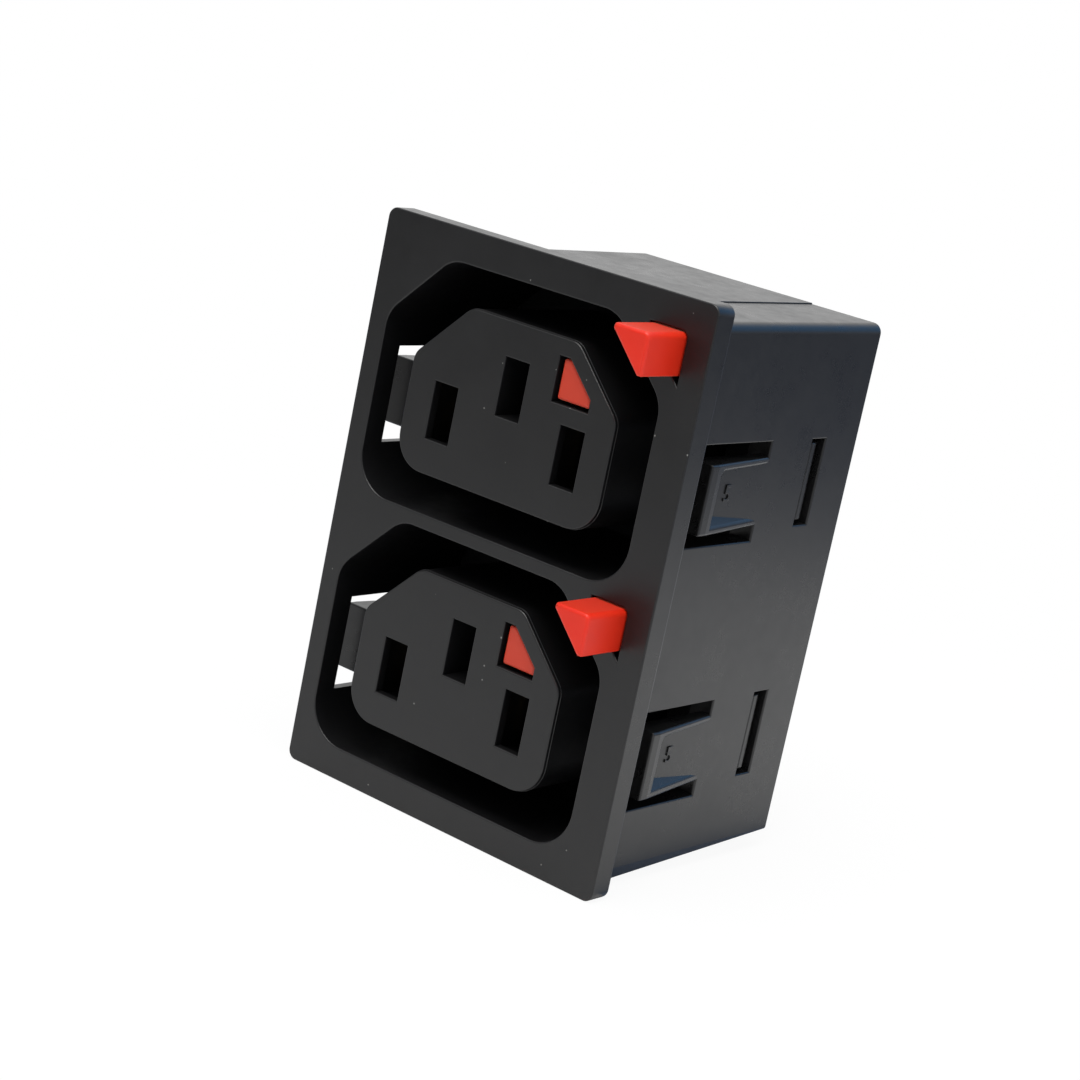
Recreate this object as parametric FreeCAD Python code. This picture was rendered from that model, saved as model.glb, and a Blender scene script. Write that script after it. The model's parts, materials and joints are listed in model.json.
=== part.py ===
# Two-outlet locking panel socket: a snap-in housing with sprung release sliders and tilting lock plates.
# Millimetres. +X right seen from the front, +Y into the panel, +Z up, origin at the centre of the flange's back.
import FreeCAD
import Part
import math
import os

# Poles of each outlet
POLE_SPACING = 14.0
POLE_RISE = 4.0
SLOT_W = 2.55
SLOT_H = 5.1

# Core of each outlet
CORE_W = 22.4
CORE_H = 15.25
CORE_CHAMFER = 5.3
CORE_TOP_R = 1.6
CORE_BOTTOM_R = 3.0
CORE_FACE_T = 1.0

# Recess round each core
RECESS_W = 30.0
RECESS_H = 22.0
RECESS_CHAMFER = 6.0
RECESS_TOP_R = 3.0
RECESS_BOTTOM_R = 3.8
RECESS_DEPTH = 17.0
RECESS_WEB = 1.29
FLOOR_T = 1.5

# Walls of the body round the recesses
LEFT_WALL = 0.9
RIGHT_WALL = 2.2
TOP_WALL = 1.21
BOTTOM_WALL = 1.28
BOTTOM_DRAFT = 1.2
BOTTOM_BEVEL = 0.22
BEVEL_LEAN = 20.0
REAR_LIP = 0.8
LEDGE = 0.5
BODY_EDGE_R = 0.9
BODY_CHAMFER = 6.3
TOP_STEP = 0.1
TOP_STEP_W = 7.55

# Flange in front of the panel
FLANGE_T = 2.4
LIP_LEFT = 1.1
LIP_RIGHT = 1.55
LIP_TOP = 1.72
FLANGE_CORNER_R = 0.9
FLANGE_EDGE_R = 0.15

# Snap latches on both sides
PANEL_T = 2.0
LATCH_PLAY = 0.1
LATCH_LENGTH = 10.0
LATCH_W = 6.1
LATCH_T = 1.1
LATCH_RISE = 1.18
LATCH_CREST = 1.0
LATCH_NOSE = 1.75
LATCH_RIM = 0.6
LATCH_POCKET_R = 0.5
LATCH_SLOPE = 0.8
LATCH_SLOT = 1.35
LATCH_DROP = 2.5

# Rear covers and the hooks that hold them
REAR_ROOM = 7.9
COVER_T = 1.8
COVER_CLEAR = 0.1
WINDOW_W = 2.1
WINDOW_H = 7.8
WINDOW_DROP = 2.0
WINDOW_REACH = 4.45
HOOK_T = 1.2
HOOK_BITE = 1.1
HOOK_LEAD = 0.4
HOOK_CREST = 0.4
HOOK_PLAY = 0.4

# Release sliders
TRAVEL = 3.0
SLIDE_CLEAR = 0.1
BUTTON_LEG = 4.1
BUTTON_TIP = 0.5
BUTTON_OUT = 5.05
BUTTON_WALL = 1.0
BUTTON_RISE = 0.18
BUTTON_EDGE_R = 0.34
BUTTON_CORNER_R = 0.5
KEY_X = 4.25
KEY_Z = 2.2
KEY_LEG = 5.0
KEY_TIP = 1.1
KEY_CLEAR = 0.3
KEY_SUNK = 0.3
BRIDGE_T = 1.4
BRIDGE_GAP = 0.1

# Return springs
SPRING_D = 3.8
SPRING_WIRE = 0.4
SPRING_TURNS = 4
SPRING_STEPS = 12
SPRING_SIDES = 8
SPRING_SEAT = 0.5
SPRING_PLAY = 0.03
SPIGOT_H = 1.2
SPIGOT_CLEAR = 0.2

# Lock plates
PLATE_T = 0.8
PLATE_DEPTH = 8.0
PLATE_RIM = 1.0
PLATE_PLAY = 0.25
PLATE_W = 6.8
PIN_W = 2.0
PIN_H = 4.0
PIN_CLEAR = 0.4
PIVOT_X = 4.6
PIVOT_W = 2.6
PIVOT_GAP = 0.1
EAR_W = 1.8
EAR_REACH = 1.25
EAR_GRIP = 0.3125
EAR_RISE = 1.4

# Contacts
STRIP_T = 0.4
LEAF_W = 4.2
LEAF_SPREAD = 1.55
LEAF_PINCH = 0.75
LEAF_MOUTH = 1.25
LEAF_LEAD = 1.65
LEAF_RUN = 6.2
LEAF_NECK = 3.1
LEAF_JOIN = 0.8
LEAF_TIP_DEPTH = 4.5
CHAMBER_W = 4.0
CHAMBER_H = 6.4
SHOULDER_W = 7.4
TAB_W = 6.3
TAB_OUT = 7.6
TAB_HOLE_D = 1.8
TAB_HOLE_IN = 4.2
TAB_NOSE = 1.0
SEAT_GAP = 0.05

# Places worked out from the sizes above, measured from each outlet's centre
OUTLET_PITCH = RECESS_H + RECESS_WEB
OUTLET_X = (LEFT_WALL + LIP_LEFT - RIGHT_WALL - LIP_RIGHT) / 2
OUTLET_Z = {"upper": OUTLET_PITCH / 2, "lower": -OUTLET_PITCH / 2}
SIDES = {"left": -1, "right": 1}
BODY_LEFT = -RECESS_W / 2 - LEFT_WALL
BODY_RIGHT = RECESS_W / 2 + RIGHT_WALL
BODY_TOP = OUTLET_PITCH / 2 + RECESS_H / 2 + TOP_WALL
BODY_BOTTOM = -OUTLET_PITCH / 2 - RECESS_H / 2 - BOTTOM_WALL
FLOOR_Y = RECESS_DEPTH - FLANGE_T
ROOM_Y = FLOOR_Y + FLOOR_T
COVER_Y = ROOM_Y + REAR_ROOM
BACK_Y = COVER_Y + COVER_T
BUTTON_X = BODY_RIGHT - BUTTON_WALL - SLIDE_CLEAR
BUTTON_Z = RECESS_H / 2 + BUTTON_RISE - SLIDE_CLEAR
ROOM_LEFT = BODY_LEFT + REAR_LIP + LEDGE
ROOM_RIGHT = BODY_RIGHT - REAR_LIP - LEDGE
ROOM_TOP = RECESS_H / 2 + BUTTON_RISE
WINDOW_Y = COVER_Y - WINDOW_REACH
POLES = {
    "left": (-POLE_SPACING / 2, -POLE_RISE / 2),
    "earth": (0, POLE_RISE / 2),
    "right": (POLE_SPACING / 2, -POLE_RISE / 2),
}
EARTH_Z = POLE_RISE / 2
EAR_Z = EARTH_Z + EAR_RISE
PLATE_Y = PLATE_DEPTH - FLANGE_T
FINGER_X = KEY_X + KEY_CLEAR
EAR_END = FINGER_X + EAR_REACH
PLATE_ARM = FINGER_X + EAR_GRIP + PIVOT_X
PLATE_TILT = math.degrees(math.atan(TRAVEL / PLATE_ARM))
PLATE_H = PIN_H + PIN_CLEAR + 2 * PLATE_RIM
DIAGONAL = math.sqrt(2)
SAME_PLACE = 1e-4


def vec(x, y, z):
    return FreeCAD.Vector(x, y, z)


def box(x0, x1, y0, y1, z0, z1):
    return Part.makeBox(x1 - x0, y1 - y0, z1 - z0, vec(x0, y0, z0))


def outline(corners, y):
    """A closed wire in the XZ plane through (x, z, radius) corners."""
    edges = []
    ends = []
    count = len(corners)
    for i, (x, z, radius) in enumerate(corners):
        here = vec(x, y, z)
        before = vec(corners[i - 1][0], y, corners[i - 1][1]) - here
        after = vec(corners[(i + 1) % count][0], y, corners[(i + 1) % count][1]) - here
        before.normalize()
        after.normalize()
        if radius == 0:
            ends.append((here, here))
            continue
        half = before.getAngle(after) / 2
        start = here + before * (radius / math.tan(half))
        end = here + after * (radius / math.tan(half))
        inward = before + after
        inward.normalize()
        middle = here + inward * (radius / math.sin(half) - radius)
        edges.append(Part.Arc(start, middle, end).toShape())
        ends.append((start, end))
    for i in range(count):
        leave = ends[i - 1][1]
        arrive = ends[i][0]
        if leave.distanceToPoint(arrive) > SAME_PLACE:
            edges.append(Part.makeLine(leave, arrive))
    return Part.Wire(Part.__sortEdges__(edges))


def prism(corners, y0, y1):
    return Part.Face(outline(corners, y0)).extrude(vec(0, y1 - y0, 0))


def plain(points):
    return [(x, z, 0) for x, z in points]


def d_shape(width, height, chamfer, top_r, bottom_r):
    """Appliance outlet outline: chamfered at both top corners, round at the bottom ones."""
    w = width / 2
    h = height / 2
    return [
        (-w, -h, bottom_r),
        (w, -h, bottom_r),
        (w, h - chamfer, top_r),
        (w - chamfer, h, top_r),
        (chamfer - w, h, top_r),
        (-w, h - chamfer, top_r),
    ]


def triangle(x, z, leg, tip, way):
    """Right triangle with its square corner at x, z, legs running the given way and blunt tips."""
    return plain([
        (x, z),
        (x + way * (leg - tip), z),
        (x + way * (leg - tip), z + way * tip),
        (x + way * tip, z + way * (leg - tip)),
        (x, z + way * (leg - tip)),
    ])


def button_corners():
    corners = triangle(BUTTON_X, BUTTON_Z, BUTTON_LEG, BUTTON_TIP, -1)
    corners[0] = (BUTTON_X, BUTTON_Z, BUTTON_CORNER_R)
    return corners


def button_hole():
    """Section of the hole round the button: blunt at the left as the button is, sharp at the bottom."""
    right = BUTTON_X + SLIDE_CLEAR
    top = BUTTON_Z + SLIDE_CLEAR
    left = BUTTON_X - BUTTON_LEG + BUTTON_TIP - SLIDE_CLEAR
    slant = BUTTON_X + BUTTON_Z - BUTTON_LEG - SLIDE_CLEAR * DIAGONAL
    return [(right, top, BUTTON_CORNER_R + SLIDE_CLEAR)] + plain([
        (left, top), (left, slant - left), (right, slant - right)])


def finger_triangle():
    """Section of the finger: clear of its bore on the two legs, close to it on the slanting side."""
    leg = KEY_LEG - 2 * KEY_CLEAR - SLIDE_CLEAR * DIAGONAL
    return triangle(FINGER_X, KEY_Z + KEY_CLEAR, leg, KEY_TIP - KEY_CLEAR, 1)


def front_edges(shape, y):
    return [e for e in shape.Edges if e.BoundBox.YMax < y + SAME_PLACE]


def fused(shapes):
    return shapes[0].multiFuse(shapes[1:]).removeSplitter()


def flange():
    half_w = (RECESS_W + LEFT_WALL + LIP_LEFT + RIGHT_WALL + LIP_RIGHT) / 2
    half_h = BODY_TOP + LIP_TOP
    corners = [(x, z, FLANGE_CORNER_R) for x, z in
               [(-half_w, -half_h), (half_w, -half_h), (half_w, half_h), (-half_w, half_h)]]
    plate = prism(corners, -FLANGE_T, 0)
    return plate.makeFillet(FLANGE_EDGE_R, front_edges(plate, -FLANGE_T))


def body_block():
    """Outer form behind the flange: slanting corner, low strip over the sliders, drafted and bevelled bottom."""
    left = BODY_LEFT + OUTLET_X
    right = BODY_RIGHT + OUTLET_X
    step = right - TOP_STEP_W
    low = BODY_BOTTOM - BOTTOM_DRAFT
    bevel = BODY_BOTTOM + BOTTOM_BEVEL
    lean = (bevel - low) * math.tan(math.radians(BEVEL_LEAN))
    corners = [
        (left, bevel, 0),
        (left + lean, low, 0),
        (right - lean, low, 0),
        (right, bevel, 0),
        (right, BODY_TOP - TOP_STEP, BODY_EDGE_R),
        (step, BODY_TOP - TOP_STEP, 0),
        (step, BODY_TOP, 0),
        (left + BODY_CHAMFER, BODY_TOP, BODY_EDGE_R),
        (left, BODY_TOP - BODY_CHAMFER, BODY_EDGE_R),
    ]
    wedge = Part.makePolygon([vec(left, y, z) for y, z in
                              [(0, low), (BACK_Y, low), (BACK_Y, BODY_BOTTOM), (0, low)]])
    return prism(corners, 0, BACK_Y).cut(Part.Face(wedge).extrude(vec(right - left, 0, 0)))


def core():
    return prism(d_shape(CORE_W, CORE_H, CORE_CHAMFER, CORE_TOP_R, CORE_BOTTOM_R), -FLANGE_T, FLOOR_Y)


def recess():
    return prism(d_shape(RECESS_W, RECESS_H, RECESS_CHAMFER, RECESS_TOP_R, RECESS_BOTTOM_R), -FLANGE_T, FLOOR_Y)


def room_corners(grow, shrink):
    """Outline of the room behind the recess floor, slanting at the top left as the body does."""
    left = ROOM_LEFT - grow + shrink
    right = ROOM_RIGHT + grow - shrink
    top = ROOM_TOP - shrink
    slant = RECESS_CHAMFER - shrink * (2 - DIAGONAL)
    return plain([(left, -top), (right, -top), (right, top), (left + slant, top), (left, top - slant)])


def rear_room():
    """Space behind the recess floor: mechanism room, slider corner and the seat of the rear cover."""
    room = prism(room_corners(0, 0), ROOM_Y, BACK_Y)
    seat = prism(room_corners(LEDGE, 0), COVER_Y, BACK_Y)
    reach = BUTTON_LEG + SLIDE_CLEAR * (2 + DIAGONAL)
    right = BUTTON_X + SLIDE_CLEAR
    corner = box(right - reach, right, ROOM_Y, COVER_Y, ROOM_TOP - reach, ROOM_TOP)
    return [room, seat, corner]


def pole_cuts():
    """Slots in the core's face and the contact chambers behind them."""
    cuts = []
    for pole, (x, z) in POLES.items():
        width, height, front = CHAMBER_W, CHAMBER_H, CORE_FACE_T
        if pole == "earth":
            width = PLATE_W + 2 * PLATE_PLAY
            height = PLATE_H + 2 * PLATE_PLAY
            front = PLATE_DEPTH - TRAVEL - PLATE_T - PLATE_PLAY
        cuts.append(box(x - SLOT_W / 2, x + SLOT_W / 2, -FLANGE_T, ROOM_Y, z - SLOT_H / 2, z + SLOT_H / 2))
        cuts.append(box(x - width / 2, x + width / 2, front - FLANGE_T, ROOM_Y, z - height / 2, z + height / 2))
    return cuts


def plate_cuts():
    """Groove for the lock plate's pivot end and the opening through which its ear meets the finger."""
    half = PLATE_T / 2
    wall = PLATE_W / 2 + PLATE_PLAY
    z = EAR_Z
    tilt = math.radians(PLATE_TILT)
    ledge = PLATE_Y - half / math.cos(tilt) - (PIVOT_X - wall) * math.tan(tilt) - PIVOT_GAP
    groove = box(-PIVOT_X - half - PIVOT_GAP, -wall, ledge, ROOM_Y,
                 z - PIVOT_W / 2 - PLATE_PLAY, z + PIVOT_W / 2 + PLATE_PLAY)
    front = PLATE_Y - TRAVEL - PLATE_T - PLATE_PLAY
    ear = box(wall, FINGER_X, front, ROOM_Y, z - EAR_W / 2 - PLATE_PLAY, z + EAR_W / 2 + PLATE_PLAY)
    return [groove, ear]


def slider_bores():
    button = prism(button_hole(), -FLANGE_T, ROOM_Y)
    key = prism(triangle(KEY_X, KEY_Z, KEY_LEG, KEY_TIP, 1), -FLANGE_T, ROOM_Y)
    return [button, key]


def latch_cut(side):
    """Opening in a side wall that leaves the tongue free on three sides."""
    outer = BODY_RIGHT if side > 0 else BODY_LEFT
    inner = side * RECESS_W / 2
    half = LATCH_W / 2 + LATCH_SLOT
    root = PANEL_T + LATCH_PLAY + LATCH_LENGTH
    low, high = sorted((inner, outer))
    return box(low, high, 0, root, -LATCH_DROP - half, -LATCH_DROP + half)


def latch(side):
    """Snap tongue rooted at the rear, with a rim that rises towards its free end and slopes inside."""
    outer = BODY_RIGHT if side > 0 else BODY_LEFT
    inner = outer - side * LATCH_T
    crest = outer + side * LATCH_RISE
    free = PANEL_T + LATCH_PLAY
    root = free + LATCH_LENGTH
    low = -LATCH_DROP - LATCH_W / 2
    points = [(inner, root), (inner, free), (crest, free), (crest, free + LATCH_CREST), (outer, root)]
    wire = Part.makePolygon([vec(x, y, low) for x, y in points + points[:1]])
    wedge = Part.Face(wire).extrude(vec(0, 0, LATCH_W))
    near, far = sorted((outer, crest))
    front = free + LATCH_NOSE
    foot = low + LATCH_RIM
    pocket = box(near, far, front, root, foot, low + LATCH_W - LATCH_RIM)
    corners = [e for e in front_edges(pocket, front) if e.Length < LATCH_RISE + SAME_PLACE]
    upper = [e for e in corners if e.CenterOfMass.z > -LATCH_DROP]
    pocket = pocket.makeFillet(LATCH_POCKET_R, upper)
    brow = outer + side * LATCH_RISE * (root - front) / (LATCH_LENGTH - LATCH_CREST)
    section = Part.makePolygon([vec(x, front, z) for x, z in
                                [(outer, foot), (brow, foot), (outer, foot + LATCH_SLOPE), (outer, foot)]])
    slope = Part.makeLoft([section, Part.Vertex(outer, root, foot)], True, True)
    return wedge.cut(pocket.cut(slope))


def hook_window(side):
    outer = BODY_RIGHT if side > 0 else BODY_LEFT
    inner = ROOM_RIGHT if side > 0 else ROOM_LEFT
    low, high = sorted((inner, outer))
    return box(low, high, WINDOW_Y - WINDOW_W / 2, WINDOW_Y + WINDOW_W / 2,
               -WINDOW_DROP - WINDOW_H / 2, -WINDOW_DROP + WINDOW_H / 2)


def placed(shape, z):
    return shape.translated(vec(OUTLET_X, 0, z))


def front_housing():
    """Flange, body, cores, latches and windows: one moulding."""
    shell = fused([flange(), body_block()])
    shell = shell.cut(Part.Compound([placed(recess(), z) for z in OUTLET_Z.values()]))
    shell = fused([shell] + [placed(core(), z) for z in OUTLET_Z.values()])
    cuts = rear_room() + pole_cuts() + plate_cuts() + slider_bores()
    cuts += [latch_cut(side) for side in SIDES.values()]
    cuts += [hook_window(side) for side in SIDES.values()]
    for cut in cuts:
        for z in OUTLET_Z.values():
            shell = shell.cut(placed(cut, z))
    tongues = [placed(latch(side), z) for side in SIDES.values() for z in OUTLET_Z.values()]
    return fused([shell] + tongues)


def hook(side):
    """Snap arm of a rear cover, with a rounded nose that rests in the housing's window."""
    wall = ROOM_RIGHT if side > 0 else ROOM_LEFT
    outer = wall - side * COVER_CLEAR
    inner = outer - side * HOOK_T
    crest = outer + side * HOOK_BITE
    tip = WINDOW_Y - WINDOW_W / 2 + COVER_CLEAR
    catch = WINDOW_Y + WINDOW_W / 2 - COVER_CLEAR
    brow = tip + HOOK_LEAD + HOOK_CREST
    run = catch - brow
    radius = (HOOK_BITE ** 2 + run ** 2) / (2 * HOOK_BITE)
    half = math.atan2(run, radius - HOOK_BITE) / 2
    low = -WINDOW_DROP - WINDOW_H / 2 + HOOK_PLAY
    middle = vec(crest - side * radius * (1 - math.cos(half)), brow + radius * math.sin(half), low)
    points = [(outer, catch), (outer, COVER_Y), (inner, COVER_Y), (inner, tip), (outer, tip),
              (crest, tip + HOOK_LEAD), (crest, brow)]
    points = [vec(x, y, low) for x, y in points]
    nose = Part.Arc(points[-1], middle, points[0]).toShape()
    wire = Part.Wire(Part.makePolygon(points).Edges + [nose])
    return Part.Face(wire).extrude(vec(0, 0, WINDOW_H - 2 * HOOK_PLAY))


def keeper():
    """Pillar on the rear cover that keeps the lock plate's pivot end in its groove."""
    half = PLATE_T / 2
    front = PLATE_Y + half + PIVOT_GAP
    return box(-PIVOT_X - half, -PLATE_W / 2 - PLATE_PLAY, front, COVER_Y,
               EAR_Z - PIVOT_W / 2, EAR_Z + PIVOT_W / 2)


def spring_place():
    """Centre of the slider's bridge, where the return spring pushes."""
    return (KEY_X + BUTTON_X) / 2, (KEY_Z + BUTTON_Z) / 2


def rear_cover():
    plate = prism(room_corners(LEDGE, COVER_CLEAR), COVER_Y, BACK_Y)
    x, z = spring_place()
    radius = SPRING_D / 2 - SPRING_WIRE - SPIGOT_CLEAR
    spigot = Part.makeCylinder(radius, SPIGOT_H, vec(x, COVER_Y - SPIGOT_H, z), vec(0, 1, 0))
    body = fused([plate, keeper(), spigot] + [hook(side) for side in SIDES.values()])
    for px, pz in POLES.values():
        half_t = STRIP_T + COVER_CLEAR
        half_w = TAB_W / 2 + COVER_CLEAR
        body = body.cut(box(px - half_t, px + half_t, COVER_Y, BACK_Y, pz - half_w, pz + half_w))
    return body


def release_slider():
    """Push button and core finger on one bridge behind the recess floor."""
    bridge_y = ROOM_Y + BRIDGE_GAP
    button = prism(button_corners(), -FLANGE_T - BUTTON_OUT, bridge_y)
    button = button.makeFillet(BUTTON_EDGE_R, front_edges(button, -FLANGE_T - BUTTON_OUT))
    finger = prism(finger_triangle(), -FLANGE_T + KEY_SUNK, bridge_y)
    outer = [p[:2] for p in button_corners()]
    inner = [p[:2] for p in finger_triangle()]
    corners = [inner[0], inner[1], outer[4], outer[0], outer[1], inner[4]]
    bridge = prism(plain(corners), bridge_y, bridge_y + BRIDGE_T)
    x, z = spring_place()
    seat_y = bridge_y + BRIDGE_T - SPRING_SEAT
    seat = Part.makeCylinder(SPRING_D / 2 + SPIGOT_CLEAR, SPRING_SEAT, vec(x, seat_y, z), vec(0, 1, 0))
    notch_y = PLATE_Y - TRAVEL
    notch_half = PLATE_T / 2 + PLATE_PLAY
    notch = box(FINGER_X, EAR_END + PLATE_PLAY, notch_y - notch_half, notch_y + notch_half,
                KEY_Z, EAR_Z + EAR_W / 2 + PLATE_PLAY)
    return fused([button, bridge, finger]).cut(seat).cut(notch)


def lock_plate():
    """Steel plate with a window round the earth pin, tilted forward about its round left edge."""
    half = PLATE_T / 2
    side = PLATE_W / 2
    low = EARTH_Z - PLATE_H / 2
    high = EARTH_Z + PLATE_H / 2
    points = [
        (-side, low), (side, low), (side, EAR_Z - EAR_W / 2), (EAR_END, EAR_Z - EAR_W / 2),
        (EAR_END, EAR_Z + EAR_W / 2), (side, EAR_Z + EAR_W / 2), (side, high), (-side, high),
        (-side, EAR_Z + PIVOT_W / 2), (-PIVOT_X, EAR_Z + PIVOT_W / 2), (-PIVOT_X, EAR_Z - PIVOT_W / 2),
        (-side, EAR_Z - PIVOT_W / 2),
    ]
    sheet = prism(plain(points), PLATE_Y - half, PLATE_Y + half)
    roll = Part.makeCylinder(half, PIVOT_W, vec(-PIVOT_X, PLATE_Y, EAR_Z - PIVOT_W / 2), vec(0, 0, 1))
    tilt = math.radians(PLATE_TILT)
    middle = PIVOT_X * 2 / (1 + math.cos(tilt)) - PIVOT_X
    width = (PIN_W + PIN_CLEAR) / 2
    height = (PIN_H + PIN_CLEAR) / 2
    opening = box(middle - width, middle + width, PLATE_Y - half, PLATE_Y + half,
                  EARTH_Z - height, EARTH_Z + height)
    plate = fused([sheet, roll]).cut(opening)
    plate.rotate(vec(-PIVOT_X, PLATE_Y, 0), vec(0, 0, 1), -PLATE_TILT)
    return plate


def strip(points, thickness, z0, z1):
    """A bent strip of sheet along (x, y) points, seen edge on from above."""
    left = []
    right = []
    for i, (x, y) in enumerate(points):
        turns = []
        for a, b in ((i - 1, i), (i, i + 1)):
            if 0 <= a and b < len(points):
                along = vec(points[b][0] - points[a][0], points[b][1] - points[a][1], 0)
                along.normalize()
                turns.append(vec(-along.y, along.x, 0))
        normal = turns[0] + turns[-1]
        normal.normalize()
        reach = thickness / 2 / normal.dot(turns[0])
        left.append(vec(x, y, z0) + normal * reach)
        right.append(vec(x, y, z0) - normal * reach)
    ring = left + right[::-1]
    return Part.Face(Part.makePolygon(ring + ring[:1])).extrude(vec(0, 0, z1 - z0))


def contact(tip_depth):
    """Folded contact: two sprung leaves in front, a doubled tab behind, held by its shoulders."""
    tip = tip_depth - FLANGE_T
    fold = ROOM_Y + SEAT_GAP
    leaves = []
    for side in SIDES.values():
        path = [
            (side * LEAF_MOUTH, tip),
            (side * LEAF_PINCH, tip + LEAF_LEAD),
            (side * LEAF_SPREAD, tip + LEAF_RUN),
            (side * LEAF_SPREAD, fold - LEAF_NECK),
            (side * STRIP_T / 2, fold - LEAF_JOIN),
            (side * STRIP_T / 2, fold),
        ]
        leaves.append(strip(path, STRIP_T, -LEAF_W / 2, LEAF_W / 2))
    shoulder = box(-STRIP_T, STRIP_T, fold, COVER_Y - SEAT_GAP, -SHOULDER_W / 2, SHOULDER_W / 2)
    half = TAB_W / 2
    end = BACK_Y + TAB_OUT
    points = [(half, COVER_Y - SEAT_GAP), (half, end - TAB_NOSE), (half - TAB_NOSE, end),
              (TAB_NOSE - half, end), (-half, end - TAB_NOSE), (-half, COVER_Y - SEAT_GAP)]
    wire = Part.makePolygon([vec(-STRIP_T, y, z) for z, y in points + points[:1]])
    tab = Part.Face(wire).extrude(vec(2 * STRIP_T, 0, 0))
    hole = Part.makeCylinder(TAB_HOLE_D / 2, 2 * STRIP_T, vec(-STRIP_T, end - TAB_HOLE_IN, 0), vec(1, 0, 0))
    return fused(leaves + [shoulder, tab]).cut(hole)


def return_spring():
    front = ROOM_Y + BRIDGE_GAP + BRIDGE_T - SPRING_SEAT + SPRING_PLAY + SPRING_WIRE / 2
    back = COVER_Y - SPRING_PLAY - SPRING_WIRE / 2
    radius = (SPRING_D - SPRING_WIRE) / 2
    steps = SPRING_TURNS * SPRING_STEPS
    turn = 2 * math.pi / SPRING_STEPS
    path = Part.makePolygon([
        vec(radius * math.cos(i * turn), front + (back - front) * i / steps, radius * math.sin(i * turn))
        for i in range(steps + 1)
    ])
    ring = Part.makeCircle(SPRING_WIRE / 2, path.Vertexes[0].Point, path.Edges[0].tangentAt(0))
    section = Part.makePolygon(ring.discretize(SPRING_SIDES + 1))
    wire = path.makePipeShell([section], True, False, 1)
    x, z = spring_place()
    return wire.translated(vec(x, 0, z))


def write(name, shape):
    shape.exportStep("parts/" + name + ".step")


def main():
    os.makedirs("parts", exist_ok=True)
    write("front_housing", front_housing())
    earth_tip = PLATE_DEPTH + PLATE_T + PLATE_PLAY
    for level, z in OUTLET_Z.items():
        write("rear_cover_" + level, placed(rear_cover(), z))
        write("release_slider_" + level, placed(release_slider(), z))
        write("lock_plate_" + level, placed(lock_plate(), z))
        write("return_spring_" + level, placed(return_spring(), z))
        for pole, (px, pz) in POLES.items():
            tip = earth_tip if pole == "earth" else LEAF_TIP_DEPTH
            write(pole + "_contact_" + level, placed(contact(tip).translated(vec(px, 0, pz)), z))


main()
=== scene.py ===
import json
import math

import bmesh
import bpy
from mathutils import Matrix, Vector


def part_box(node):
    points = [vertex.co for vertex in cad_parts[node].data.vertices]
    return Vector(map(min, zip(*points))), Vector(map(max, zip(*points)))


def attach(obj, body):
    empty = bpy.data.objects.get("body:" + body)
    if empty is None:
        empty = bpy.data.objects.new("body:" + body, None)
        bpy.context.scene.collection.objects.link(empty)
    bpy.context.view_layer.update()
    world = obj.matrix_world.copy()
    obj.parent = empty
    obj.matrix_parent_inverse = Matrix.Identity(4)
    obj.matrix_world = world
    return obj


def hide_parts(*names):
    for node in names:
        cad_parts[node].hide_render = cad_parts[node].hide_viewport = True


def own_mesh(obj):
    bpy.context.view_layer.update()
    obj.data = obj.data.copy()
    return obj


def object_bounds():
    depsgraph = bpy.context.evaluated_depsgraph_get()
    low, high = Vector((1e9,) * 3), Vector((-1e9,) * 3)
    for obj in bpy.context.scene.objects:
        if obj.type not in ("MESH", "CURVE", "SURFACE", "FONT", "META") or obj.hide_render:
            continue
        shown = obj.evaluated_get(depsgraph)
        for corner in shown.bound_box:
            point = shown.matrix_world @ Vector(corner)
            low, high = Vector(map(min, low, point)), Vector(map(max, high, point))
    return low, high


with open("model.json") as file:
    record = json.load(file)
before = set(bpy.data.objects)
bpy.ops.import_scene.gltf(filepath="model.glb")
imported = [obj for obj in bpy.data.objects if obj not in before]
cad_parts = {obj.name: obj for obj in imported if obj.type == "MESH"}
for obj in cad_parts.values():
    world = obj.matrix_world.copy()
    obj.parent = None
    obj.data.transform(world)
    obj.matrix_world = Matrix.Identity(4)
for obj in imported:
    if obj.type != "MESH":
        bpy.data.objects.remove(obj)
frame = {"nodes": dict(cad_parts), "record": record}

cad_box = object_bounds()
nodes = frame["nodes"]
scene = bpy.context.scene

MM = 0.001
WHITE = (1.0, 1.0, 1.0)

# Camera of the photograph, in the part's frame
EYE = Vector((0.129536, -0.171425, 0.052116))
FORWARD = Vector((-0.5765885, 0.7837379, -0.2308694))
RIGHT = Vector((0.7610309, 0.6179939, 0.1972700))
LENS = 86.037
SENSOR = 36.0
CLIP_START = 0.01


# Node trees. A noise is given by its scale and detail.
NOISE_ROUGHNESS = 0.55
NOISE_SPAN = (0.3, 0.7)


def new_material(name):
    material = bpy.data.materials.new(name)
    material.use_nodes = True
    tree = material.node_tree
    return material, tree, tree.nodes["Principled BSDF"]


def add(tree, kind, **values):
    node = tree.nodes.new(kind)
    for name, value in values.items():
        node.inputs[name].default_value = value
    return node


def noise(tree, coords, scale, detail):
    node = add(tree, "ShaderNodeTexNoise", Scale=scale, Detail=detail, Roughness=NOISE_ROUGHNESS)
    tree.links.new(coords, node.inputs["Vector"])
    return node.outputs["Fac"]


def remap(tree, value, low, high, to_low, to_high, smooth=False):
    node = tree.nodes.new("ShaderNodeMapRange")
    if smooth:
        node.interpolation_type = "SMOOTHSTEP"
    tree.links.new(value, node.inputs["Value"])
    limits = {"From Min": low, "From Max": high, "To Min": to_low, "To Max": to_high}
    for name, number in limits.items():
        node.inputs[name].default_value = number
    return node.outputs["Result"]


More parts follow.
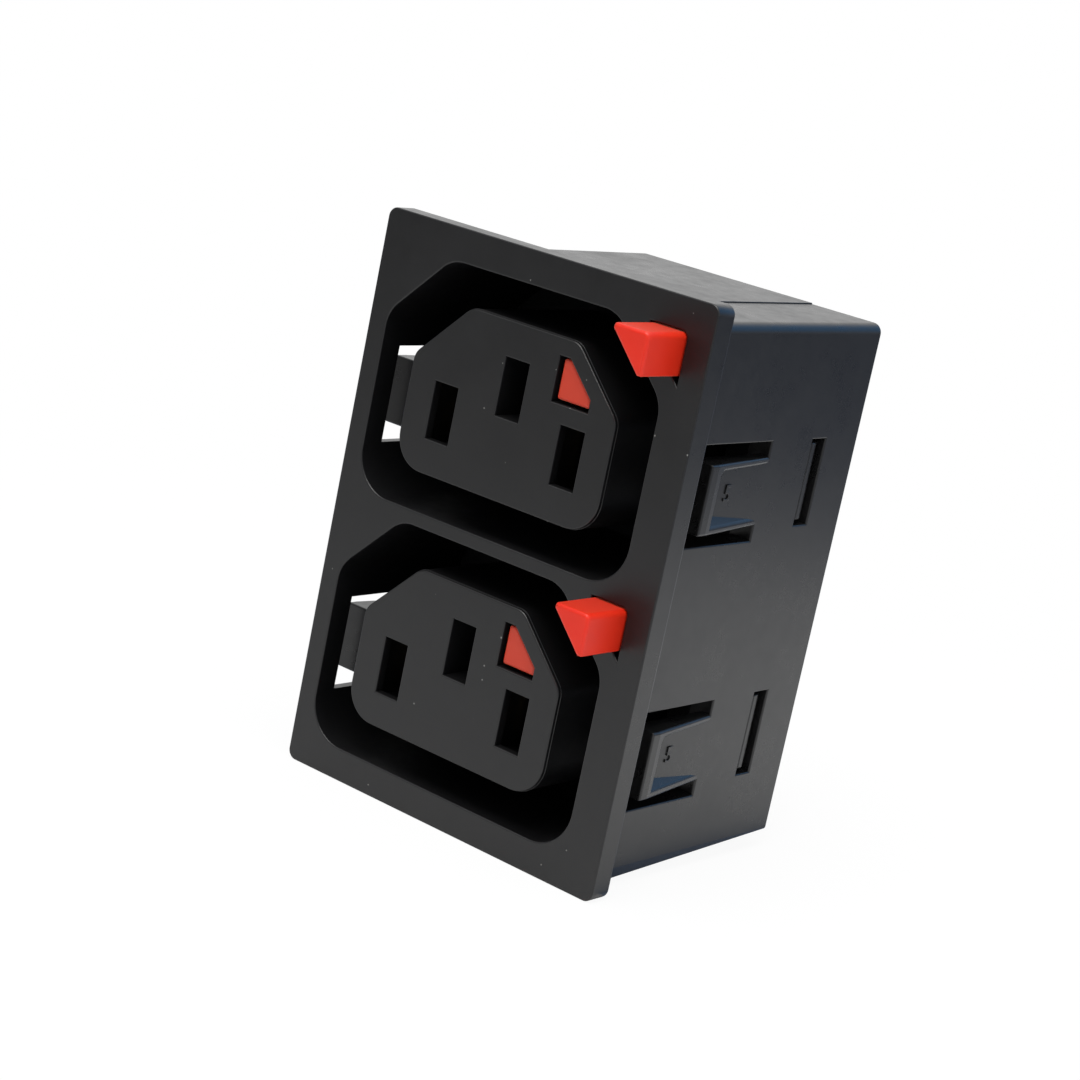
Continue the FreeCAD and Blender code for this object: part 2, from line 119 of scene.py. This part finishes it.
def math_node(tree, operation, a, b):
    node = tree.nodes.new("ShaderNodeMath")
    node.operation = operation
    for socket, value in zip(node.inputs, (a, b)):
        if isinstance(value, (int, float)):
            socket.default_value = value
        else:
            tree.links.new(value, socket)
    return node.outputs[0]


def vector_node(tree, operation, vector, fixed):
    """A number from a vector and a fixed vector, such as their distance or dot product."""
    node = tree.nodes.new("ShaderNodeVectorMath")
    node.operation = operation
    tree.links.new(vector, node.inputs[0])
    node.inputs[1].default_value = fixed
    return node.outputs["Value"]


def split_axes(tree, vector):
    node = tree.nodes.new("ShaderNodeSeparateXYZ")
    tree.links.new(vector, node.inputs["Vector"])
    return node.outputs


def blend_colour(tree, factor, a, b):
    node = tree.nodes.new("ShaderNodeMix")
    node.data_type = "RGBA"
    tree.links.new(factor, node.inputs["Factor"])
    for socket, value in zip([s for s in node.inputs if s.type == "RGBA"], (a, b)):
        if isinstance(value, tuple):
            socket.default_value = (*value, 1.0)
        else:
            tree.links.new(value, socket)
    return [s for s in node.outputs if s.type == "RGBA"][0]


def object_place(tree):
    return tree.nodes.new("ShaderNodeTexCoord").outputs["Object"]


def bump(tree, shader, height, strength, distance):
    node = add(tree, "ShaderNodeBump", Strength=strength, Distance=distance)
    tree.links.new(height, node.inputs["Height"])
    tree.links.new(node.outputs["Normal"], shader.inputs["Normal"])


def within(tree, where, limits):
    """1 where each axis of limits lies between its two values, 0 elsewhere."""
    axes = split_axes(tree, where)
    inside = 1.0
    for axis, (low, high) in limits.items():
        above = math_node(tree, "GREATER_THAN", axes[axis], low)
        below = math_node(tree, "LESS_THAN", axes[axis], high)
        inside = math_node(tree, "MULTIPLY", math_node(tree, "MULTIPLY", above, below), inside)
    return inside


# Plastics. The bezel's face is rougher than the sides, and a slider's finger is duller than its
# button.
CLOUD = (160.0, 4.0)
PATCH = (900.0, 3.0)
GRAIN = (9000.0, 2.0)
GRAIN_HEIGHT = 0.02 * MM
TONE_SPAN = (0.35, 0.65)
PLASTIC_IOR = 1.5
SPECK_SCALE = 900.0
SPECK_RARE = 0.86
SPECK_SIZE = 0.085
SPECK_ROUGHNESS = 0.9
FINGER = {"X": (0.0, 9.0 * MM)}
BEZEL = {"Y": (-3.0 * MM, -2.3 * MM)}


def specks(tree, where):
    """1 on sparse specks of dust, 0 elsewhere."""
    cells = add(tree, "ShaderNodeTexVoronoi", Scale=SPECK_SCALE, Randomness=1.0)
    tree.links.new(where, cells.inputs["Vector"])
    chance = tree.nodes.new("ShaderNodeSeparateColor")
    tree.links.new(cells.outputs["Color"], chance.inputs["Color"])
    chosen = math_node(tree, "GREATER_THAN", chance.outputs["Red"], SPECK_RARE)
    size = math_node(tree, "MULTIPLY", chance.outputs["Green"], SPECK_SIZE)
    near = math_node(tree, "LESS_THAN", cells.outputs["Distance"], size)
    return math_node(tree, "MULTIPLY", chosen, near)


def plastic(name, colour, pale, roughness, grain, mottle, bezel=0.0, speck=None, finger=None):
    """Moulded plastic with a fine eroded surface and cloudy gloss.

    bezel is added to the roughness of the bezel's face, speck is the colour of dust and finger
    the colour of a slider's finger.
    """
    material, tree, shader = new_material(name)
    where = object_place(tree)
    cloud = noise(tree, where, *CLOUD)
    patch = noise(tree, where, *PATCH)
    fine = noise(tree, where, *GRAIN)
    tinted = blend_colour(tree, remap(tree, cloud, *TONE_SPAN, 0.0, 1.0), colour, pale)
    gloss = math_node(tree, "ADD", remap(tree, cloud, *NOISE_SPAN, *roughness),
                      remap(tree, patch, *NOISE_SPAN, -mottle, mottle))
    if bezel:
        more = math_node(tree, "MULTIPLY", within(tree, where, BEZEL), bezel)
        gloss = math_node(tree, "ADD", gloss, more)
    if speck:
        dust = specks(tree, where)
        tinted = blend_colour(tree, dust, tinted, speck)
        rough = math_node(tree, "MULTIPLY", dust, SPECK_ROUGHNESS)
        gloss = math_node(tree, "MAXIMUM", gloss, rough)
    if finger:
        tinted = blend_colour(tree, within(tree, where, FINGER), tinted, finger)
    tree.links.new(tinted, shader.inputs["Base Color"])
    tree.links.new(gloss, shader.inputs["Roughness"])
    bump(tree, shader, fine, grain, GRAIN_HEIGHT)
    shader.inputs["IOR"].default_value = PLASTIC_IOR
    return material


def set_shader(material, **values):
    """Set uniform values on the shader's own sockets, with _ for the spaces in their names."""
    shader = material.node_tree.nodes["Principled BSDF"]
    for name, value in values.items():
        shader.inputs[name.replace("_", " ")].default_value = value


black = plastic("black_plastic", colour=(0.005, 0.005, 0.0053), pale=(0.0065, 0.0065, 0.0068),
                roughness=(0.27, 0.34), grain=0.20, mottle=0.03, bezel=0.08,
                speck=(0.18, 0.18, 0.17))
# Inner finish: rougher, with painted shade, a darker colour and a weaker reflection
inner = plastic("black_plastic_inner", colour=(0.0036, 0.0036, 0.004),
                pale=(0.0046, 0.0046, 0.005), roughness=(0.50, 0.58), grain=0.30, mottle=0.03)
set_shader(inner, Specular_IOR_Level=0.15)
red = plastic("red_plastic", colour=(0.66, 0.016, 0.002), pale=(0.70, 0.020, 0.003),
              roughness=(0.38, 0.46), grain=0.08, mottle=0.01, finger=(0.52, 0.038, 0.014))
set_shader(red, IOR=1.42, Sheen_Weight=0.26, Sheen_Roughness=0.3,
           Sheen_Tint=(1.0, 0.85, 0.6, 1.0), Subsurface_Weight=0.3,
           Subsurface_Radius=(1.0, 0.25, 0.15), Subsurface_Scale=0.5 * MM)


# Metals
METAL_LINES = (1.0, 3.0)
METAL_CLOUD = (400.0, 3.0)
LINE_BUMP = 0.15
LINE_HEIGHT = 0.01 * MM


def metal(name, colour, pale, roughness, drawn):
    """Rolled strip with fine lines along its length, the axis whose drawn scale is small."""
    material, tree, shader = new_material(name)
    where = object_place(tree)
    mapping = add(tree, "ShaderNodeMapping", Scale=drawn)
    tree.links.new(where, mapping.inputs["Vector"])
    lines = noise(tree, mapping.outputs["Vector"], *METAL_LINES)
    cloud = noise(tree, where, *METAL_CLOUD)
    tree.links.new(blend_colour(tree, cloud, colour, pale), shader.inputs["Base Color"])
    tree.links.new(remap(tree, lines, *NOISE_SPAN, *roughness), shader.inputs["Roughness"])
    shader.inputs["Metallic"].default_value = 1.0
    bump(tree, shader, lines, LINE_BUMP, LINE_HEIGHT)
    return material


brass = metal("brass", colour=(0.62, 0.42, 0.17), pale=(0.74, 0.55, 0.26), roughness=(0.24, 0.42),
              drawn=(9000.0, 400.0, 9000.0))
steel = metal("spring_steel", colour=(0.50, 0.50, 0.51), pale=(0.62, 0.62, 0.64),
              roughness=(0.20, 0.36), drawn=(9000.0, 9000.0, 500.0))

FINISH = {"black_plastic": black, "red_plastic": red, "brass": brass, "spring_steel": steel}
for row in frame["record"]["subparts"]:
    node = nodes[row["node"]]
    node.data.materials.clear()
    node.data.materials.append(FINISH[row["material_slot"]])


# Edges that show are softened as a mould or a press leaves them. A zone is an axis, a sign, the
# limit past which an edge's middle lies on that side, and the share of the width that it gets.
SHARP = math.radians(40.0)
FLAT = math.radians(1.0)
WELD = 0.001 * MM
BARE = 0.01
NORMAL_WEIGHT = 60
EVERYWHERE = [("Y", 1.0, -1.0, 1.0)]
SLIDER_ZONES = [("Y", -1.0, -12.0 * MM, 1.0)]
HOUSING_ZONES = [
    ("Y", -1.0, -0.3 * MM, 0.2),
    ("Y", 1.0, 25.5 * MM, 0.2),
    ("X", 1.0, 16.2 * MM, 0.2),
    ("X", 1.0, 16.45 * MM, 0.3),
    ("X", -1.0, 16.65 * MM, 0.2),
    ("X", -1.0, 16.9 * MM, 0.3),
    ("Z", 1.0, 23.6 * MM, 0.05),
    ("Z", -1.0, 23.8 * MM, 0.2),
]
# Part of a node's name: full width, segments, zones
SOFT = {
    "front_housing": (0.7 * MM, 3, HOUSING_ZONES),
    "rear_cover": (0.12 * MM, 2, EVERYWHERE),
    "release_slider": (0.2 * MM, 2, SLIDER_ZONES),
    "lock_plate": (0.06 * MM, 2, EVERYWHERE),
    "contact": (0.05 * MM, 2, EVERYWHERE),
}


def geometry_tree(name):
    tree = bpy.data.node_groups.new(name, "GeometryNodeTree")
    for direction in ("INPUT", "OUTPUT"):
        tree.interface.new_socket("Geometry", in_out=direction, socket_type="NodeSocketGeometry")
    start = tree.nodes.new("NodeGroupInput").outputs["Geometry"]
    end = tree.nodes.new("NodeGroupOutput").inputs["Geometry"]
    return tree, start, end


def edge_weights(name, zones):
    """Geometry nodes that weigh the sharp outer edges in zones and crease the other sharp ones."""
    tree, start, end = geometry_tree(name)
    angle = tree.nodes.new("GeometryNodeInputMeshEdgeAngle").outputs
    axes = split_axes(tree, tree.nodes.new("GeometryNodeInputPosition").outputs["Position"])
    weight = 0.0
    for axis, sign, limit, amount in zones:
        along = math_node(tree, "MULTIPLY", axes[axis], sign)
        past = math_node(tree, "GREATER_THAN", along, limit)
        weight = math_node(tree, "MAXIMUM", math_node(tree, "MULTIPLY", past, amount), weight)
    outer = math_node(tree, "GREATER_THAN", angle["Signed Angle"], 0.0)
    weight = math_node(tree, "MULTIPLY", weight, outer)
    sharp = math_node(tree, "GREATER_THAN", angle["Unsigned Angle"], SHARP)
    store = tree.nodes.new("GeometryNodeStoreNamedAttribute")
    store.domain = "EDGE"
    store.data_type = "FLOAT"
    store.inputs["Name"].default_value = "bevel_weight_edge"
    tree.links.new(start, store.inputs["Geometry"])
    tree.links.new(math_node(tree, "MULTIPLY", sharp, weight), store.inputs["Value"])
    crease = tree.nodes.new("GeometryNodeSetShadeSmooth")
    crease.domain = "EDGE"
    crease.inputs["Shade Smooth"].default_value = False
    bare = math_node(tree, "LESS_THAN", weight, BARE)
    tree.links.new(store.outputs["Geometry"], crease.inputs["Geometry"])
    tree.links.new(math_node(tree, "MULTIPLY", sharp, bare), crease.inputs["Selection"])
    tree.links.new(crease.outputs["Geometry"], end)
    return tree


def soften(node, width, segments, weights):
    weld = node.modifiers.new("weld", "WELD")
    weld.merge_threshold = WELD
    flat = node.modifiers.new("flat", "DECIMATE")
    flat.decimate_type = "DISSOLVE"
    flat.angle_limit = FLAT
    node.modifiers.new("weights", "NODES").node_group = weights
    bevel = node.modifiers.new("edges", "BEVEL")
    bevel.width = width
    bevel.segments = segments
    bevel.limit_method = "WEIGHT"
    bevel.use_clamp_overlap = False
    bevel.loop_slide = False
    bevel.miter_outer = "MITER_ARC"
    shade = node.modifiers.new("shade", "WEIGHTED_NORMAL")
    shade.keep_sharp = True
    shade.weight = NORMAL_WEIGHT


for part, (width, segments, zones) in SOFT.items():
    weights = edge_weights(part + "_edges", zones)
    for name, node in nodes.items():
        if part in name:
            soften(node, width, segments, weights)


# The recesses and what lies behind them are rougher, with painted shade: darker colour, weaker
# reflection
INSIDE = {
    "X": (-16.0 * MM, 14.3 * MM),
    "Y": (-2.3 * MM, 25.0 * MM),
    "Z": (-22.8 * MM, 22.8 * MM),
}


def inner_finish(limits):
    """Geometry nodes that give the faces inside a box the rougher inner finish with painted shade.
    """
    tree, start, end = geometry_tree("inner_finish")
    place = tree.nodes.new("GeometryNodeInputPosition").outputs["Position"]
    coat = tree.nodes.new("GeometryNodeSetMaterial")
    coat.inputs["Material"].default_value = inner
    tree.links.new(start, coat.inputs["Geometry"])
    tree.links.new(within(tree, place, limits), coat.inputs["Selection"])
    tree.links.new(coat.outputs["Geometry"], end)
    return tree


housing = nodes["front_housing"]
housing.data.materials.append(inner)
housing.modifiers.new("inner", "NODES").node_group = inner_finish(INSIDE)


# Return springs: smooth coils in place of the stepped solids
SPRING_TURNS = 4
SPRING_STEPS = 32
SPRING_SIDES = 12
SPRING_WIRE = 0.4 * MM


def add_piece(name, mesh):
    piece = bpy.data.objects.new(name, mesh)
    scene.collection.objects.link(piece)
    return piece


def coil(name, low, high):
    """A closed tube along a helix in the Y direction that fills the box from low to high."""
    centre = (low + high) / 2
    wire = SPRING_WIRE / 2
    radius = (high.x - low.x) / 2 - wire
    start = low.y + wire
    rise = high.y - low.y - 2 * wire
    slope = rise / (2 * math.pi * SPRING_TURNS * radius)
    total = SPRING_TURNS * SPRING_STEPS
    points = []
    faces = []
    for i in range(total + 1):
        turn = 2 * math.pi * i / SPRING_STEPS
        out = Vector((math.cos(turn), 0, math.sin(turn)))
        along = Vector((-math.sin(turn), slope, math.cos(turn))).normalized()
        side = out.cross(along)
        middle = Vector((centre.x, start + rise * i / total, centre.z)) + out * radius
        for k in range(SPRING_SIDES):
            angle = 2 * math.pi * k / SPRING_SIDES
            points.append(middle + (out * math.cos(angle) + side * math.sin(angle)) * wire)
    for i in range(total):
        for k in range(SPRING_SIDES):
            a = i * SPRING_SIDES + k
            b = i * SPRING_SIDES + (k + 1) % SPRING_SIDES
            faces.append((a, b, b + SPRING_SIDES, a + SPRING_SIDES))
    faces.append(tuple(range(SPRING_SIDES))[::-1])
    faces.append(tuple(total * SPRING_SIDES + k for k in range(SPRING_SIDES)))
    mesh = bpy.data.meshes.new(name)
    mesh.from_pydata(points, [], faces)
    for face in mesh.polygons:
        face.use_smooth = len(face.vertices) == 4
    return add_piece(name, mesh)


for level in ("upper", "lower"):
    node = "return_spring_" + level
    low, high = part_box(node)
    spring = coil("coil_" + level, low, high)
    spring.data.materials.append(steel)
    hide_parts(node)
    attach(spring, "socket")
    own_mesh(spring)


def detail(name, mesh, slot, body):
    """A small piece that rides on a body and takes the finish of a slot."""
    piece = add_piece(name, mesh)
    mesh.materials.clear()
    mesh.materials.append(FINISH[slot])
    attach(piece, body)


# Cavity numbers on the floors of the latch pockets, raised by the mould
OUTLETS = {"upper": 11.645 * MM, "lower": -11.645 * MM}
SIDE_X = 16.325 * MM
NUMBER_HEIGHT = 1.5 * MM
NUMBER_RAISED = 0.10 * MM
NUMBER_EDGE = 0.02 * MM
NUMBER_STEPS = 6
NUMBER_Y = 6.8 * MM
NUMBER_DROP = 2.35 * MM


def number_mesh(name, digits):
    """A numeral facing +X with its top towards +Z, centred on its own middle."""
    curve = bpy.data.curves.new(name, "FONT")
    curve.body = digits
    curve.size = NUMBER_HEIGHT
    curve.extrude = NUMBER_RAISED
    curve.bevel_depth = NUMBER_EDGE
    curve.bevel_resolution = 1
    curve.resolution_u = NUMBER_STEPS
    shaped = add_piece(name + "_curve", curve)
    graph = bpy.context.evaluated_depsgraph_get()
    mesh = bpy.data.meshes.new_from_object(shaped.evaluated_get(graph))
    bpy.data.objects.remove(shaped)
    bpy.data.curves.remove(curve)
    mesh.name = name
    low = Vector([min(v.co[i] for v in mesh.vertices) for i in range(3)])
    high = Vector([max(v.co[i] for v in mesh.vertices) for i in range(3)])
    grow = NUMBER_HEIGHT / (high.y - low.y)
    middle = (low + high) / 2
    for vertex in mesh.vertices:
        at = (vertex.co - middle) * grow
        vertex.co = Vector((vertex.co.z, at.x, at.y))
    return mesh


for level, z in OUTLETS.items():
    mesh = number_mesh("cavity_number_" + level, "5")
    mesh.transform(Matrix.Translation((SIDE_X, NUMBER_Y, z - NUMBER_DROP)))
    detail("cavity_number_" + level, mesh, "black_plastic", "socket")


# Thin mould line round each core, just behind its front edge
CORE_WIDTH = 22.4 * MM
CORE_HEIGHT = 15.25 * MM
CORE_CHAMFER = 5.3 * MM
CORE_TOP_R = 1.6 * MM
CORE_BOTTOM_R = 3.0 * MM
CORE_X = -0.875 * MM
FRONT_Y = -2.4 * MM
RIDGE_BEHIND = 0.34 * MM
RIDGE_WIDE = 0.10 * MM
RIDGE_RAISED = 0.045 * MM
RIDGE_SUNK = 0.03 * MM
RIDGE_STEPS = 8


def core_outline(grow):
    """Points (x, z) round a core, moved outwards by the given amount."""
    w = CORE_WIDTH / 2
    h = CORE_HEIGHT / 2
    c = CORE_CHAMFER
    corners = [
        ((-w, -h), CORE_BOTTOM_R),
        ((w, -h), CORE_BOTTOM_R),
        ((w, h - c), CORE_TOP_R),
        ((w - c, h), CORE_TOP_R),
        ((c - w, h), CORE_TOP_R),
        ((-w, h - c), CORE_TOP_R),
    ]
    points = []
    for i, (corner, radius) in enumerate(corners):
        here = Vector(corner)
        before = (Vector(corners[i - 1][0]) - here).normalized()
        after = (Vector(corners[(i + 1) % len(corners)][0]) - here).normalized()
        half = before.angle(after) / 2
        centre = here + (before + after).normalized() * (radius / math.sin(half))
        start = here + before * (radius / math.tan(half)) - centre
        end = here + after * (radius / math.tan(half)) - centre
        for k in range(RIDGE_STEPS + 1):
            along = start.lerp(end, k / RIDGE_STEPS).normalized()
            points.append(centre + along * (radius + grow))
    return points


def mould_line(name, z):
    """A closed ridge of three-sided section round the core."""
    rows = []
    section = ((-RIDGE_SUNK, 0.0), (RIDGE_RAISED, RIDGE_WIDE / 2), (-RIDGE_SUNK, RIDGE_WIDE))
    for grow, back in section:
        y = FRONT_Y + RIDGE_BEHIND + back
        rows.append([(CORE_X + p.x, y, z + p.y) for p in core_outline(grow)])
    count = len(rows[0])
    faces = []
    for r in range(len(rows)):
        here = r * count
        there = (r + 1) % len(rows) * count
        for i in range(count):
            j = (i + 1) % count
            faces.append((here + i, here + j, there + j, there + i))
    mesh = bpy.data.meshes.new(name)
    mesh.from_pydata([p for row in rows for p in row], [], faces)
    form = bmesh.new()
    form.from_mesh(mesh)
    bmesh.ops.recalc_face_normals(form, faces=form.faces)
    form.to_mesh(mesh)
    form.free()
    return mesh


for level, z in OUTLETS.items():
    mesh = mould_line("mould_line_" + level, z)
    detail("mould_line_" + level, mesh, "black_plastic", "socket")


# Stage: a white sheet. Glossy surfaces see painted light and shade on it: paler on the lit side,
# painted darker far from the part, and a blue painted shadow beside the part's right foot.
FLOOR_SIZE = 4.0
SHEET_MIDDLE = (0.0, 0.01, cad_box[0].z)
SHEET_PLAIN = (0.9, 0.9, 0.9)
# Painted light and shade for glossy rays: the sheet is darker at the front and lighter on its lit
# back side
SHEET_SHADED_FRONT = (0.68, 0.68, 0.68)
SHEET_LIT_BACK = (0.95, 0.95, 0.95)
# Painted shade for glossy rays: the sheet darkens far from the part
FAR_SHADE_FRONT = (0.27, 0.265, 0.26)
FAR_SHADE_BACK = (0.22, 0.25, 0.32)
SHEET_EDGE = (0.10, 0.21)
LIT_SIDE = (0.59, 0.81, 0.0)
LIT_SPAN = (-0.08, 0.08)
# Painted shadow for glossy rays: a dark blue strip beside the part's right foot
FOOT_SHADOW = (0.30, 0.37, 0.50)
FOOT_X = 0.0163
FOOT_SHADOW_EDGE = (0.002, 0.004)
SHEET_ROUGHNESS = 0.9
# Share of plain white that the camera sees near the part, where the shadow shows, and far away
SHADOW_SPAN = (0.05, 0.14)
SHADOW_WHITE = (0.93, 1.0)


def plane(name, size, z):
    mesh = bpy.data.meshes.new(name)
    half = size / 2
    corners = [(-half, -half, z), (half, -half, z), (half, half, z), (-half, half, z)]
    mesh.from_pydata(corners, [], [(0, 1, 2, 3)])
    return add_piece(name, mesh)


def camera_sees(tree, path):
    return math_node(tree, "MAXIMUM", path["Is Camera Ray"], path["Is Transmission Ray"])


floor = plane("floor", FLOOR_SIZE, cad_box[0].z)
material, tree, shader = new_material("floor")
place = tree.nodes.new("ShaderNodeNewGeometry").outputs["Position"]
away = vector_node(tree, "DISTANCE", place, SHEET_MIDDLE)
# Painted light and shade seen by glossy rays: lit and shaded sides, darker far away
side = remap(tree, vector_node(tree, "DOT_PRODUCT", place, LIT_SIDE), *LIT_SPAN, 0.0, 1.0, True)
sheet = blend_colour(tree, side, SHEET_SHADED_FRONT, SHEET_LIT_BACK)
far = blend_colour(tree, side, FAR_SHADE_FRONT, FAR_SHADE_BACK)
sheet = blend_colour(tree, remap(tree, away, *SHEET_EDGE, 0.0, 1.0, True), sheet, far)
# Painted shadow beside the part's right foot, behind its front
axes = split_axes(tree, place)
beyond = math_node(tree, "SUBTRACT", axes["X"], FOOT_X)
behind = math_node(tree, "GREATER_THAN", axes["Y"], 0.0)
foot_shadow = math_node(tree, "MULTIPLY", remap(tree, beyond, *FOOT_SHADOW_EDGE, 1.0, 0.0, True), behind)
sheet = blend_colour(tree, foot_shadow, sheet, FOOT_SHADOW)
path = tree.nodes.new("ShaderNodeLightPath").outputs
# Glossy rays see the painted sheet, matt rays the plain one
colour = blend_colour(tree, path["Is Glossy Ray"], SHEET_PLAIN, sheet)
tree.links.new(colour, shader.inputs["Base Color"])
shader.inputs["Roughness"].default_value = SHEET_ROUGHNESS
shader.inputs["Specular IOR Level"].default_value = 0.0
glow = add(tree, "ShaderNodeEmission", Color=(*WHITE, 1.0), Strength=1.0)
mix = tree.nodes.new("ShaderNodeMixShader")
plain = remap(tree, away, *SHADOW_SPAN, *SHADOW_WHITE, True)
tree.links.new(math_node(tree, "MULTIPLY", camera_sees(tree, path), plain), mix.inputs["Fac"])
tree.links.new(shader.outputs["BSDF"], mix.inputs[1])
tree.links.new(glow.outputs["Emission"], mix.inputs[2])
tree.links.new(mix.outputs["Shader"], tree.nodes["Material Output"].inputs["Surface"])
floor.data.materials.append(material)


# World: white for the camera, plain fill for matt surfaces, and a room with pale patches for
# glossy ones. A patch is a direction, the angles in degrees where it starts to fade and ends,
# and a colour.
FILL = (0.55, 0.56, 0.58)
ROOM = (0.38, 0.39, 0.42)
PATCHES = [
    ((0.2, 0.8, 0.6), 10.0, 40.0, (0.20, 0.52, 1.00)),
    ((0.0, 0.0, 1.0), 30.0, 60.0, WHITE),
    ((-0.58, 0.78, 0.20), 22.0, 46.0, WHITE),
]


def toward(tree, vector, direction, fade, end):
    """Weight that is 1 within the fade angle of a direction and 0 past the end angle."""
    dot = vector_node(tree, "DOT_PRODUCT", vector, Vector(direction).normalized())
    low = math.cos(math.radians(end))
    high = math.cos(math.radians(fade))
    return remap(tree, dot, low, high, 0.0, 1.0, True)


world = bpy.data.worlds.new("studio")
world.use_nodes = True
scene.world = world
tree = world.node_tree
way = tree.nodes.new("ShaderNodeTexCoord").outputs["Generated"]
path = tree.nodes.new("ShaderNodeLightPath").outputs
room = ROOM
for direction, fade, end, colour in PATCHES:
    room = blend_colour(tree, toward(tree, way, direction, fade, end), room, colour)
lit = blend_colour(tree, path["Is Glossy Ray"], FILL, room)
back = tree.nodes["Background"]
tree.links.new(blend_colour(tree, camera_sees(tree, path), lit, WHITE), back.inputs["Color"])
back.inputs["Strength"].default_value = 1.0


# Lamps: place, target, size, power, colour
LAMPS = {
    "key": ((0.03, -0.16, 0.52), (0, 0, 0), 0.35, 2.7, (1.0, 0.99, 0.97)),
    "right": ((0.45, -0.05, 0.20), (0, 0.01, 0), 0.35, 0.3, (0.93, 0.96, 1.0)),
}
for name, (place, target, size, power, colour) in LAMPS.items():
    light = bpy.data.lights.new(name, "AREA")
    light.size = size
    light.energy = power
    light.color = colour
    lamp = add_piece(name, light)
    lamp.location = place
    lamp.rotation_mode = "QUATERNION"
    lamp.rotation_quaternion = (Vector(target) - Vector(place)).to_track_quat("-Z", "Y")

camera = add_piece("camera", bpy.data.cameras.new("camera"))
turn = Matrix([RIGHT, RIGHT.cross(FORWARD), -FORWARD]).transposed()
camera.matrix_world = Matrix.Translation(EYE) @ turn.to_4x4()
camera.data.lens = LENS
camera.data.sensor_width = SENSOR
camera.data.clip_start = CLIP_START
scene.camera = camera
scene.view_settings.view_transform = "Standard"
